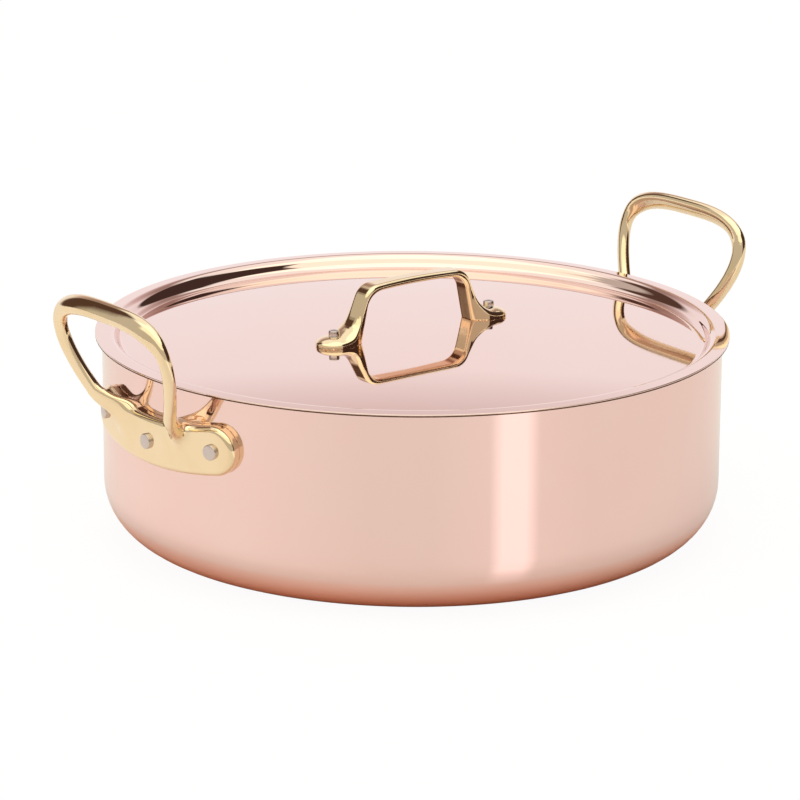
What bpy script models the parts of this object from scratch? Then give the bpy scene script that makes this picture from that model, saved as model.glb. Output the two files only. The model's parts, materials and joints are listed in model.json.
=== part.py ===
"""Round copper saute pan with two cast side handles and a lift-off lid. Metres, +Z up.

The pan stands on z = 0 with its axis on Z, and its side handles lie along X.
Each sheet is an offset of one path, so copper and steel lining always seat in each other.
The lid's pieces are modelled from the rim's plane and hang from an empty on the lifting axis.
"""

import math

import bmesh
import bpy
from mathutils import Matrix, Vector

MM = 0.001

# Pan body: a drawn copper shell with a thin steel lining
PAN_RADIUS = 142.0 * MM
PAN_HEIGHT = 92.8 * MM
PAN_CORNER_RADIUS = 25.2 * MM
COPPER_WALL = 1.6 * MM
LINING_WALL = 0.4 * MM
SEAT_GAP = 0.3 * MM

# Lid: a flat flange round a shallow well whose floor rises in a dome
LID_OVERHANG = 3.2 * MM
LID_COPPER_WALL = 0.9 * MM
LID_LINING_WALL = 0.3 * MM
LID_PLAY = 0.6 * MM
LID_WELL_DEPTH = 5.6 * MM
LID_WELL_RUN = 3.0 * MM
LID_DOME_RISE = 4.1 * MM
LID_LIP_RADIUS = 2.0 * MM
LID_WELL_CORNER_RADIUS = 1.5 * MM
LID_DOME_MARGIN = 5.0 * MM

# Cast side handle: riveted plate, bent to the wall
HANDLE_DROP = 27.0 * MM
PLATE_HALF_HEIGHT = 11.2 * MM
PLATE_THICKNESS = 5.3 * MM
PLATE_EDGE_RADIUS = 2.3 * MM
PLATE_SMILE = 3.5 * MM
PLATE_STOCK = 1.5 * MM
RIVET_PITCH = 39.3 * MM

# Cast side handle: middle line of the loop that grows out of the plate
LOOP_ROOT_LIFT = 4.2 * MM
LOOP_RISE = 57.2 * MM
LOOP_ROOT_REACH = 7.2 * MM
LOOP_REACH = 26.4 * MM
LOOP_BELLY = 9.0 * MM
LOOP_ROOT_HALF_SPAN = 15.6 * MM
LOOP_TOP_HALF_SPAN = 55.2 * MM
LOOP_SQUARENESS = 3.15
LOOP_SPREAD = 0.76
ROOT_SINK = 8.0 * MM
ROOT_SINK_RUN = 14.0 * MM

# Cast side handle: the loop's bar, slim in the legs and broad in the grip
LEG_WIDTH = 6.4 * MM
LEG_THICKNESS = 5.5 * MM
LEG_TILT = math.radians(-15)
GRIP_WIDTH = 9.3 * MM
GRIP_THICKNESS = 5.8 * MM
GRIP_TILT = math.radians(32)
GRIP_START = 42.0 * MM
GRIP_FULL = 57.0 * MM
ROOT_FLARE = 4.8 * MM
ROOT_FLARE_RUN = 17.0 * MM
BAR_SQUARENESS = 2.7

# Side rivets: the shank's end shows outside, a domed head shows inside
SIDE_SHANK_RADIUS = 3.5 * MM
SIDE_SHANK_PROUD = 2.5 * MM
SIDE_HEAD_RADIUS = 6.5 * MM
SIDE_HEAD_HEIGHT = 2.2 * MM

# Lid handle: a strap arch on two round feet
ARCH_HEIGHT = 25.9 * MM
ARCH_CROWN = 0.8 * MM
ARCH_THICKNESS = 3.2 * MM
ARCH_SHOULDER_HALF_SPAN = 28.2 * MM
ARCH_HEEL_HALF_SPAN = 37.0 * MM
ARCH_INNER_SHOULDER_HALF_SPAN = 27.3 * MM
ARCH_INNER_HEEL_HALF_SPAN = 32.0 * MM
ARCH_SHOULDER_RADIUS = 8.5 * MM
ARCH_INNER_RADIUS = 8.5 * MM
ARCH_HEEL_RADIUS = 14.0 * MM
STRAP_MIDDLE_WIDTH = 8.4 * MM
STRAP_WIDTH = 9.8 * MM
STRAP_EDGE = 1.2 * MM
FOOT_RIVET_HALF_SPAN = 45.0 * MM
FOOT_RADIUS = 8.4 * MM
FOOT_HEEL_THICKNESS = 4.2 * MM
FOOT_TIP_THICKNESS = 1.7 * MM
FOOT_CROWN = 4.5 * MM
FOOT_CROWN_SHARE = 0.62
FLARE_START = 31.0 * MM
FLARE_END = 40.0 * MM
SOLE_EDGE = 0.4 * MM
EDGE_SHARE = 0.8

# Lid rivets
LID_SHANK_RADIUS = 2.5 * MM
LID_SHANK_TOP = 6.9 * MM
LID_HEAD_RADIUS = 5.5 * MM
LID_HEAD_HEIGHT = 1.6 * MM

RIVET_EASE = 0.5 * MM

# Facets
ROUND_STEPS = 60
CORNER_STEPS = 6
LIP_STEPS = 2
DOME_STEPS = 3
BAND_STEPS = 10
LOBE_STEPS = 8
EDGE_STEPS = 3
LOOP_STATIONS = 32
LOOP_SAMPLES = 1200
BAR_STEPS = 12
RIVET_STEPS = 12
HEAD_STEPS = 3
HOLE_STEPS = 16
FILLET_STEPS = 6
FOOT_STEPS = 5
FOOT_TIP_ANGLE = math.radians(10)
CROWN_STEPS = 3
SMOOTH_ANGLE = math.radians(32)
SAME_POINT = 1e-7

# Sizes that follow from the ones above
COPPER_INNER_OFFSET = COPPER_WALL
LINING_OUTER_OFFSET = COPPER_INNER_OFFSET + SEAT_GAP
LINING_INNER_OFFSET = LINING_OUTER_OFFSET + LINING_WALL
PAN_INNER_RADIUS = PAN_RADIUS - LINING_INNER_OFFSET
LID_LINING_OFFSET = LID_COPPER_WALL + SEAT_GAP
LID_SHEET = LID_LINING_OFFSET + LID_LINING_WALL
LID_TOP = SEAT_GAP + LID_SHEET
LID_RADIUS = PAN_RADIUS + LID_OVERHANG
LID_WALL_SLOPE = LID_WELL_RUN / LID_WELL_DEPTH
LID_LIP = PAN_INNER_RADIUS - LID_PLAY - LID_SHEET * math.hypot(1, LID_WALL_SLOPE) + LID_TOP * LID_WALL_SLOPE
LID_FLOOR_RADIUS = LID_LIP - LID_WELL_RUN
LID_FLOOR_EDGE = LID_TOP - LID_WELL_DEPTH
PLATE_SEAT_RADIUS = PAN_RADIUS + SEAT_GAP
PLATE_HEIGHT = PAN_HEIGHT - HANDLE_DROP

# Finishes: colour, roughness
COPPER = ((0.86, 0.53, 0.43), 0.12)
STEEL = ((0.72, 0.72, 0.72), 0.25)
BRASS = ((0.83, 0.66, 0.36), 0.12)
RIVET_STEEL = ((0.58, 0.56, 0.54), 0.3)


def clear_scene():
    """Start from an empty scene."""
    for obj in list(bpy.data.objects):
        bpy.data.objects.remove(obj, do_unlink=True)


def finish(obj, look):
    """Give the object its own metal."""
    colour, roughness = look
    material = bpy.data.materials.new(obj.name + "_metal")
    material.use_nodes = True
    shader = material.node_tree.nodes["Principled BSDF"]
    shader.inputs["Base Color"].default_value = (*colour, 1.0)
    shader.inputs["Metallic"].default_value = 1.0
    shader.inputs["Roughness"].default_value = roughness
    obj.data.materials.clear()
    obj.data.materials.append(material)


def add_object(name, mesh, look, parent=None):
    """Link a mesh as a named object, smooth except at its real edges."""
    mesh.shade_smooth()
    mesh.set_sharp_from_angle(angle=SMOOTH_ANGLE)
    obj = bpy.data.objects.new(name, mesh)
    bpy.context.collection.objects.link(obj)
    obj.parent = parent
    finish(obj, look)
    return obj


def mesh_from(name, build):
    """Run one bmesh recipe and return its mesh with faces pointing out."""
    bm = bmesh.new()
    build(bm)
    bmesh.ops.recalc_face_normals(bm, faces=bm.faces)
    mesh = bpy.data.meshes.new(name)
    bm.to_mesh(mesh)
    bm.free()
    return mesh


def combine(mesh, tool, operation):
    """Boolean one mesh with another and return the result as a new mesh."""
    body = bpy.data.objects.new("boolean_body", mesh)
    cutter = bpy.data.objects.new("boolean_tool", tool)
    cutter.hide_render = True
    cutter.display_type = "WIRE"
    for obj in (body, cutter):
        bpy.context.collection.objects.link(obj)
    modifier = body.modifiers.new("combine", "BOOLEAN")
    modifier.operation = operation
    modifier.solver = "EXACT"
    modifier.object = cutter
    depsgraph = bpy.context.evaluated_depsgraph_get()
    result = bpy.data.meshes.new_from_object(body.evaluated_get(depsgraph))
    for obj in (body, cutter):
        bpy.data.objects.remove(obj, do_unlink=True)
    return result


def line(start, end, steps):
    """Points from start up to, and without, end."""
    return [tuple(a + (b - a) * i / steps for a, b in zip(start, end)) for i in range(steps)]


def fillet(before, corner, after, radius, steps):
    """Points of the arc that rounds a corner of a flat path, ends included."""
    corner = Vector(corner)
    back = (Vector(before) - corner).normalized()
    ahead = (Vector(after) - corner).normalized()
    half = back.angle(ahead) / 2
    centre = corner + (back + ahead).normalized() * radius / math.sin(half)
    first = corner + back * radius / math.tan(half) - centre
    last = corner + ahead * radius / math.tan(half) - centre
    turn = math.atan2(first.x * last.y - first.y * last.x, first.dot(last))
    return [tuple(centre + Matrix.Rotation(turn * i / steps, 2) @ first) for i in range(steps + 1)]


def offset(path, distance):
    """Move a flat path to its left by distance, with mitred corners."""
    normals = []
    for a, b in zip(path, path[1:]):
        along = (Vector(b) - Vector(a)).normalized()
        normals.append(Vector((-along.y, along.x)))
    moved = []
    for i, point in enumerate(path):
        n0 = normals[max(i - 1, 0)]
        n1 = normals[min(i, len(normals) - 1)]
        mitre = (n0 + n1) / (1 + n0.dot(n1))
        moved.append(tuple(Vector(point) + mitre * distance))
    return moved


def sheet(path, near, far):
    """Closed section of a sheet that lies between two offsets of a path that starts on the axis."""
    outside = offset(path, near)
    inside = offset(path, far)
    return [(0.0, outside[0][1])] + outside[1:] + inside[:0:-1] + [(0.0, inside[0][1])]


def revolve(section, steps):
    """Recipe that turns a closed section of (radius, height) points about Z."""
    def build(bm):
        rings = []
        for radius, height in section:
            if radius < SAME_POINT:
                rings.append([bm.verts.new((0, 0, height))])
                continue
            angles = [2 * math.pi * k / steps for k in range(steps)]
            circle = [(radius * math.cos(a), radius * math.sin(a), height) for a in angles]
            rings.append([bm.verts.new(point) for point in circle])
        for lower, upper in zip(rings, rings[1:]):
            flat = abs(lower[0].co.z - upper[0].co.z) < SAME_POINT
            if flat and min(len(lower), len(upper)) == 1:
                bm.faces.new(max(lower, upper, key=len))
                bm.verts.remove(min(lower, upper, key=len)[0])
                continue
            for k in range(steps):
                n = (k + 1) % steps
                low = [lower[k % len(lower)], lower[n % len(lower)]]
                high = [upper[n % len(upper)], upper[k % len(upper)]]
                bm.faces.new(list(dict.fromkeys(low + high)))
    return build


def cylinders(radius, axes):
    """Recipe for round cutters, each along one (start, end) axis."""
    def build(bm):
        for start, end in axes:
            run = Vector(end) - Vector(start)
            place = Matrix.Translation((Vector(start) + Vector(end)) / 2)
            turn = run.to_track_quat("Z", "Y").to_matrix().to_4x4()
            bmesh.ops.create_cone(bm, cap_ends=True, segments=HOLE_STEPS, radius1=radius, radius2=radius,
                                  depth=run.length, matrix=place @ turn)
    return build


def skin(rings):
    """Recipe that joins equal closed rings of points into a solid with flat ends."""
    def build(bm):
        loops = [[bm.verts.new(point) for point in ring] for ring in rings]
        for a, b in zip(loops, loops[1:]):
            for k in range(len(a)):
                n = (k + 1) % len(a)
                bm.faces.new((a[k], a[n], b[n], b[k]))
        bm.faces.new(loops[0])
        bm.faces.new(loops[-1])
    return build


def ease(value):
    """Smooth step from 0 to 1."""
    value = min(max(value, 0.0), 1.0)
    return value * value * (3 - 2 * value)


# Pan body and lining

def pan_path():
    """Outside of the pan, from the middle of its base to its rim."""
    corner = fillet((0, 0), (PAN_RADIUS, 0), (PAN_RADIUS, PAN_HEIGHT), PAN_CORNER_RADIUS, CORNER_STEPS)
    return [(0, 0)] + corner + [(PAN_RADIUS, PAN_HEIGHT)]


def rivet_angle(place):
    """Angle on the wall of a side rivet, where place is -1, 0 or 1."""
    return place * RIVET_PITCH / PLATE_SEAT_RADIUS


def plate_middle(along):
    """Height of the plate's middle line at a distance along the wall from its centre."""
    return PLATE_HEIGHT + PLATE_SMILE * (along / RIVET_PITCH) ** 2


def side_hole_axes(start, end, sides):
    """Axes of the side rivet holes, from one radius to another."""
    axes = []
    for side in sides:
        for place in (-1, 0, 1):
            angle = rivet_angle(place)
            height = plate_middle(place * RIVET_PITCH)
            across = Vector((side * math.cos(angle), side * math.sin(angle), 0))
            axes.append((across * start + Vector((0, 0, height)), across * end + Vector((0, 0, height))))
    return axes


def side_holes(sides):
    """Cutter for the side rivet holes."""
    inner_end = PAN_INNER_RADIUS - SIDE_HEAD_RADIUS
    outer_end = PLATE_SEAT_RADIUS + PLATE_THICKNESS + SIDE_HEAD_RADIUS
    axes = side_hole_axes(inner_end, outer_end, sides)
    return mesh_from("side_holes", cylinders(SIDE_SHANK_RADIUS + SEAT_GAP, axes))


def make_pan():
    """Copper body and steel lining, both pierced for the side rivets."""
    path = pan_path()
    outer_sheet = sheet(path, 0, COPPER_INNER_OFFSET)
    inner_sheet = sheet(path, LINING_OUTER_OFFSET, LINING_INNER_OFFSET)
    copper = mesh_from("pan_copper_body", revolve(outer_sheet, ROUND_STEPS))
    lining = mesh_from("pan_steel_lining", revolve(inner_sheet, ROUND_STEPS))
    add_object("pan_copper_body", combine(copper, side_holes((-1, 1)), "DIFFERENCE"), COPPER)
    add_object("pan_steel_lining", combine(lining, side_holes((-1, 1)), "DIFFERENCE"), STEEL)


# Cast side handles

def plate_ring(half_height, depth):
    """Outline of the plate at one depth: a curved band with round lobes, bent to the wall."""
    lobe = []
    for k in range(LOBE_STEPS // 2):
        angle = math.pi * k / LOBE_STEPS
        across = RIVET_PITCH + half_height * math.cos(angle)
        lobe.append((across, half_height * math.sin(angle), RIVET_PITCH))
    band = []
    for k in range(BAND_STEPS + 1):
        along = RIVET_PITCH * (1 - 2 * k / BAND_STEPS)
        band.append((along, half_height, along))
    flat = lobe + band + [(-along, up, middle_at) for along, up, middle_at in reversed(lobe)]
    flat += [(along, -up, middle_at) for along, up, middle_at in flat[-2:0:-1]]
    ring = []
    for along, up, middle_at in flat:
        angle = along / PLATE_SEAT_RADIUS
        radius = PLATE_SEAT_RADIUS + depth
        ring.append((radius * math.cos(angle), radius * math.sin(angle), plate_middle(middle_at) + up))
    return ring


def plate_recipe(bm):
    """Plate with rounded outer edges and spare stock behind; its two faces are strips along the wall."""
    rings = [plate_ring(PLATE_HALF_HEIGHT, -PLATE_STOCK)]
    for k in range(EDGE_STEPS + 1):
        angle = math.pi / 2 * k / EDGE_STEPS
        inset = PLATE_EDGE_RADIUS * (1 - math.cos(angle))
        depth = PLATE_THICKNESS - PLATE_EDGE_RADIUS * (1 - math.sin(angle))
        rings.append(plate_ring(PLATE_HALF_HEIGHT - inset, depth))
    loops = [[bm.verts.new(point) for point in ring] for ring in rings]
    count = len(loops[0])
    for a, b in zip(loops, loops[1:]):
        for k in range(count):
            n = (k + 1) % count
            bm.faces.new((a[k], a[n], b[n], b[k]))
    for loop in (loops[0], loops[-1]):
        for k in range(count // 2):
            corners = (loop[k], loop[k + 1], loop[-k - 1], loop[-k])
            bm.faces.new(list(dict.fromkeys(corners)))


def loop_middle(sweep):
    """Middle line of the loop; sweep runs from -pi/2 at one root over the grip to pi/2."""
    rise = abs(math.cos(sweep)) ** (2 / LOOP_SQUARENESS)
    side = math.copysign(abs(math.sin(sweep)) ** (2 / LOOP_SQUARENESS), sweep)
    across = side * (LOOP_ROOT_HALF_SPAN + (LOOP_TOP_HALF_SPAN - LOOP_ROOT_HALF_SPAN) * rise ** LOOP_SPREAD)
    root_out = PAN_RADIUS + LOOP_ROOT_REACH
    top_out = PAN_RADIUS + LOOP_REACH
    out = root_out + (top_out - root_out) * rise + LOOP_BELLY * rise * (1 - rise)
    sunk = ROOT_SINK * (1 - ease(LOOP_RISE * rise / ROOT_SINK_RUN))
    return Vector((out - sunk, across, PLATE_HEIGHT + LOOP_ROOT_LIFT + LOOP_RISE * rise))


def loop_stations():
    """Points of the loop's middle line at even spacing."""
    fine = [loop_middle(-math.pi / 2 + math.pi * k / LOOP_SAMPLES) for k in range(LOOP_SAMPLES + 1)]
    lengths = [0.0]
    for a, b in zip(fine, fine[1:]):
        lengths.append(lengths[-1] + (b - a).length)
    stations = []
    at = 0
    for k in range(LOOP_STATIONS):
        wanted = lengths[-1] * k / (LOOP_STATIONS - 1)
        while lengths[at + 1] < wanted and at < LOOP_SAMPLES - 1:
            at += 1
        share = (wanted - lengths[at]) / (lengths[at + 1] - lengths[at])
        stations.append(fine[at].lerp(fine[at + 1], share))
    return stations


def bar_section(height):
    """Half width, half thickness and tilt of the bar at a height above the loop's roots."""
    to_grip = ease((height - GRIP_START) / (GRIP_FULL - GRIP_START))
    leg_width = LEG_WIDTH + ROOT_FLARE * (1 - ease(height / ROOT_FLARE_RUN))
    width = leg_width + (GRIP_WIDTH - leg_width) * to_grip
    thickness = LEG_THICKNESS + (GRIP_THICKNESS - LEG_THICKNESS) * to_grip
    return width / 2, thickness / 2, LEG_TILT + (GRIP_TILT - LEG_TILT) * to_grip


def loop_rings():
    """Sections of the bar: rounded oblongs set square to the middle line."""
    stations = loop_stations()
    root_height = stations[0].z
    rings = []
    for k, centre in enumerate(stations):
        ahead = stations[min(k + 1, LOOP_STATIONS - 1)] - stations[max(k - 1, 0)]
        ahead.normalize()
        outward = Vector((1, 0, 0))
        outward = (outward - ahead * outward.dot(ahead)).normalized()
        away = outward.cross(ahead)
        half_width, half_thickness, tilt = bar_section(centre.z - root_height)
        wide = away * math.cos(tilt) - outward * math.sin(tilt)
        thick = outward * math.cos(tilt) + away * math.sin(tilt)
        ring = []
        for step in range(BAR_STEPS):
            angle = 2 * math.pi * (step + 0.5) / BAR_STEPS
            c = math.copysign(abs(math.cos(angle)) ** (2 / BAR_SQUARENESS), math.cos(angle))
            s = math.copysign(abs(math.sin(angle)) ** (2 / BAR_SQUARENESS), math.sin(angle))
            ring.append(centre + wide * half_width * c + thick * half_thickness * s)
        rings.append(ring)
    return rings


def wall_cutter():
    """Cutter that gives the casting's back the curve of the wall, with the same facets."""
    section = [(0.0, 0.0), (PLATE_SEAT_RADIUS, 0.0), (PLATE_SEAT_RADIUS, PAN_HEIGHT), (0.0, PAN_HEIGHT)]
    return mesh_from("wall_cutter", revolve(section, ROUND_STEPS))


def make_side_handles():
    """One casting, used on both sides: the left one is turned half a turn."""
    plate = mesh_from("side_handle_plate", plate_recipe)
    bar = mesh_from("side_handle_loop", skin(loop_rings()))
    casting = combine(plate, bar, "UNION")
    for cutter in (wall_cutter(), side_holes((1,))):
        casting = combine(casting, cutter, "DIFFERENCE")
    add_object("side_handle_right", casting, BRASS)
    left = add_object("side_handle_left", casting.copy(), BRASS)
    left.rotation_euler = (0, 0, math.pi)


def rivet_section(head_at, tip_at, shank_radius, head_radius, head_height):
    """Section of a rivet along its own axis: domed head below head_at, eased shank end at tip_at."""
    dome = []
    for k in range(HEAD_STEPS + 1):
        angle = math.pi / 2 * k / HEAD_STEPS
        dome.append((head_radius * math.sin(angle), head_at - head_height * math.cos(angle)))
    shank = [(shank_radius, head_at), (shank_radius, tip_at - RIVET_EASE)]
    tip = [(shank_radius - RIVET_EASE, tip_at), (0.0, tip_at)]
    return dome + shank + tip


def make_side_rivets():
    """Three rivets a side; each head's seat clears the curve of the lining."""
    lining_flat = PAN_INNER_RADIUS * math.cos(math.pi / ROUND_STEPS)
    head_at = math.sqrt(lining_flat ** 2 - SIDE_HEAD_RADIUS ** 2) - SEAT_GAP - PAN_RADIUS
    tip_at = SEAT_GAP + PLATE_THICKNESS + SIDE_SHANK_PROUD
    section = rivet_section(head_at, tip_at, SIDE_SHANK_RADIUS, SIDE_HEAD_RADIUS, SIDE_HEAD_HEIGHT)
    mesh = mesh_from("side_rivet", revolve(section, RIVET_STEPS))
    for side_name, side_turn in (("right", 0.0), ("left", math.pi)):
        for place_name, place in (("a", -1), ("b", 0), ("c", 1)):
            angle = side_turn + rivet_angle(place)
            rivet = add_object(f"side_rivet_{side_name}_{place_name}", mesh.copy(), RIVET_STEEL)
            height = plate_middle(place * RIVET_PITCH)
            rivet.location = (PAN_RADIUS * math.cos(angle), PAN_RADIUS * math.sin(angle), height)
            rivet.rotation_euler = (0, math.pi / 2, angle)


# Lid

def dome_height(radius):
    """Height of the well's floor above the rim's plane."""
    return LID_FLOOR_EDGE + LID_DOME_RISE * (1 - (radius / LID_FLOOR_RADIUS) ** 2)


def lid_path():
    """Top of the lid, from its middle down the dome, up the well's wall and out over the flange."""
    dome = []
    for k in range(DOME_STEPS + 1):
        radius = (LID_FLOOR_RADIUS - LID_DOME_MARGIN) * k / DOME_STEPS
        dome.append((radius, dome_height(radius)))
    floor_edge = (LID_FLOOR_RADIUS, LID_FLOOR_EDGE)
    lip = (LID_LIP, LID_TOP)
    edge = (LID_RADIUS, LID_TOP)
    path = dome + fillet(dome[-1], floor_edge, lip, LID_WELL_CORNER_RADIUS, LIP_STEPS)
    return path + fillet(floor_edge, lip, edge, LID_LIP_RADIUS, LIP_STEPS) + [edge]


def lid_holes():
    """Cutter for the two lid rivets."""
    low = Vector((0, 0, -ARCH_HEIGHT))
    high = Vector((0, 0, ARCH_HEIGHT))
    spots = [Vector((side * FOOT_RIVET_HALF_SPAN, 0, 0)) for side in (-1, 1)]
    axes = [(spot + low, spot + high) for spot in spots]
    return mesh_from("lid_holes", cylinders(LID_SHANK_RADIUS + SEAT_GAP, axes))


def make_lid(lift):
    """Copper shell and steel lining of the lid."""
    path = lid_path()
    copper = mesh_from("lid_copper_shell", revolve(sheet(path, 0, -LID_COPPER_WALL), ROUND_STEPS))
    lining = mesh_from("lid_steel_lining", revolve(sheet(path, -LID_LINING_OFFSET, -LID_SHEET), ROUND_STEPS))
    add_object("lid_copper_shell", combine(copper, lid_holes(), "DIFFERENCE"), COPPER, lift)
    add_object("lid_steel_lining", combine(lining, lid_holes(), "DIFFERENCE"), STEEL, lift)


def foot_level():
    """Height of the soles of the lid handle's feet, just clear of the dome."""
    return dome_height(ARCH_INNER_HEEL_HALF_SPAN) + SEAT_GAP


def crown_drop(span):
    """How far the arch's top lies below its middle."""
    return ARCH_CROWN * (span / ARCH_SHOULDER_HALF_SPAN) ** 2


def crown(start, height):
    """Points from a shoulder along the crowned top, up to but without the middle."""
    spans = [start * (1 - k / CROWN_STEPS) for k in range(1, CROWN_STEPS)]
    return [(span, height - crown_drop(span)) for span in spans]


def arch_edges():
    """Outer and inner outlines of half the arch as matched points (span, height above the soles)."""
    under = ARCH_HEIGHT - ARCH_THICKNESS
    tip = (FOOT_RIVET_HALF_SPAN + FOOT_RADIUS, FOOT_TIP_THICKNESS)
    heel = (ARCH_HEEL_HALF_SPAN, FOOT_HEEL_THICKNESS)
    shoulder = (ARCH_SHOULDER_HALF_SPAN, ARCH_HEIGHT - ARCH_CROWN)
    on_crown = crown(ARCH_SHOULDER_HALF_SPAN, ARCH_HEIGHT)[0]
    heel_arc = fillet(tip, heel, shoulder, ARCH_HEEL_RADIUS, FILLET_STEPS)
    shoulder_arc = fillet(heel, shoulder, on_crown, ARCH_SHOULDER_RADIUS, FILLET_STEPS)
    inner_heel = (ARCH_INNER_HEEL_HALF_SPAN, 0.0)
    inner_shoulder = (ARCH_INNER_SHOULDER_HALF_SPAN, under - ARCH_CROWN)
    under_crown = crown(ARCH_INNER_SHOULDER_HALF_SPAN, under)[0]
    inner_arc = fillet(inner_heel, inner_shoulder, under_crown, ARCH_INNER_RADIUS, FILLET_STEPS)
    sole_end = heel_arc[0][0]
    last_angle = math.acos((sole_end - FOOT_RIVET_HALF_SPAN) / FOOT_RADIUS)
    foot = []
    for k in range(FOOT_STEPS):
        angle = FOOT_TIP_ANGLE + (last_angle - FOOT_TIP_ANGLE) * k / FOOT_STEPS
        foot.append(FOOT_RIVET_HALF_SPAN + FOOT_RADIUS * math.cos(angle))
    slope = (heel_arc[0][1] - FOOT_TIP_THICKNESS) / (tip[0] - sole_end)
    outer = [(span, FOOT_TIP_THICKNESS + slope * (tip[0] - span)) for span in foot] + heel_arc
    inner = [(span, 0.0) for span in foot] + line((sole_end, 0.0), inner_heel, FILLET_STEPS) + [inner_heel]
    outer += [tuple((a + b) / 2 for a, b in zip(heel_arc[-1], shoulder_arc[0]))] + shoulder_arc
    inner += [tuple((a + b) / 2 for a, b in zip(inner_heel, inner_arc[0]))] + inner_arc
    outer += crown(shoulder_arc[-1][0], ARCH_HEIGHT)
    inner += crown(inner_arc[-1][0], under)
    return outer, inner


def foot_share(span):
    """How far the leg has flared into the foot at a distance from the handle's middle."""
    return ease((span - FLARE_START) / (FLARE_END - FLARE_START))


def strap_half_width(span):
    """Half width of the handle at a distance from its middle: strap, flare, then round foot."""
    past = span - FOOT_RIVET_HALF_SPAN
    if past > 0:
        return math.sqrt(FOOT_RADIUS ** 2 - past ** 2)
    to_leg = ease(span / ARCH_SHOULDER_HALF_SPAN)
    strap = STRAP_MIDDLE_WIDTH + (STRAP_WIDTH - STRAP_MIDDLE_WIDTH) * to_leg
    return strap / 2 + (FOOT_RADIUS - strap / 2) * foot_share(span)


def strap_ring(outer, inner, side):
    """One section of the strap: outer edges well rounded and crowned on the foot, inner edges eased."""
    level = foot_level()
    top = Vector((side * outer[0], 0, level + outer[1]))
    sole = Vector((side * inner[0], 0, level + inner[1]))
    centre = (top + sole) / 2
    up = (top - sole).normalized()
    top_half = strap_half_width(outer[0])
    sole_half = strap_half_width(inner[0])
    half_height = (top - sole).length / 2
    on_foot = foot_share(outer[0])
    crown_run = STRAP_EDGE + (FOOT_CROWN - STRAP_EDGE) * on_foot
    crown_run = min(crown_run, EDGE_SHARE * top_half)
    crown_fall = STRAP_EDGE + (2 * FOOT_CROWN_SHARE * half_height - STRAP_EDGE) * on_foot
    sole_edge = SOLE_EDGE if inner[0] > ARCH_INNER_HEEL_HALF_SPAN else STRAP_EDGE
    sole_edge = min(sole_edge, EDGE_SHARE * sole_half)
    corners = []
    for k in range(EDGE_STEPS + 1):
        angle = math.pi / 2 * k / EDGE_STEPS
        across = top_half - crown_run * (1 - math.cos(angle))
        corners.append((across, half_height - crown_fall * (1 - math.sin(angle))))
    below = [(sole_half - sole_edge, -half_height), (sole_half, -half_height + sole_edge)]
    right = below + corners
    left = [(-across, height) for across, height in reversed(right)]
    return [centre + Vector((0, across, 0)) + up * height for across, height in right + left]


def make_lid_handle(lift):
    """Arch, both feet and their rivet holes as one casting."""
    outer, inner = arch_edges()
    half = list(zip(outer, inner))
    rings = [strap_ring(o, i, 1) for o, i in half]
    rings += [strap_ring(o, i, -1) for o, i in reversed(half)]
    casting = combine(mesh_from("lid_handle", skin(rings)), lid_holes(), "DIFFERENCE")
    add_object("lid_handle", casting, BRASS, lift)


def make_lid_rivets(lift):
    """Two rivets through feet, copper and lining; heads lie under the dome."""
    head_at = dome_height(FOOT_RIVET_HALF_SPAN + LID_HEAD_RADIUS) - LID_SHEET - SEAT_GAP
    tip_at = foot_level() + LID_SHANK_TOP
    section = rivet_section(head_at, tip_at, LID_SHANK_RADIUS, LID_HEAD_RADIUS, LID_HEAD_HEIGHT)
    mesh = mesh_from("lid_rivet", revolve(section, RIVET_STEPS))
    for name, side in (("left", -1), ("right", 1)):
        rivet = add_object(f"lid_rivet_{name}", mesh.copy(), RIVET_STEEL, lift)
        rivet.location = (side * FOOT_RIVET_HALF_SPAN, 0, 0)


def main():
    """Build the pan, then the lid on its lifting axis."""
    clear_scene()
    make_pan()
    make_side_handles()
    make_side_rivets()
    lift = bpy.data.objects.new("lid_lift_axis", None)
    bpy.context.collection.objects.link(lift)
    lift.location = (0, 0, PAN_HEIGHT)
    make_lid(lift)
    make_lid_handle(lift)
    make_lid_rivets(lift)
    bpy.context.view_layer.update()


main()
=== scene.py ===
"""Looks of the copper saute pan: fine surfaces, metal finishes and a plain studio.

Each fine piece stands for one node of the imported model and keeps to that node's place.
Sheets and rivets are turned from rounded outlines. Castings are meshed from distance fields,
whose smooth unions give the fillets that a casting has. Metres, +Z up.
"""

import json
import math

import bmesh
import bpy
import numpy as np
import openvdb
from mathutils import Matrix, Vector

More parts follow.
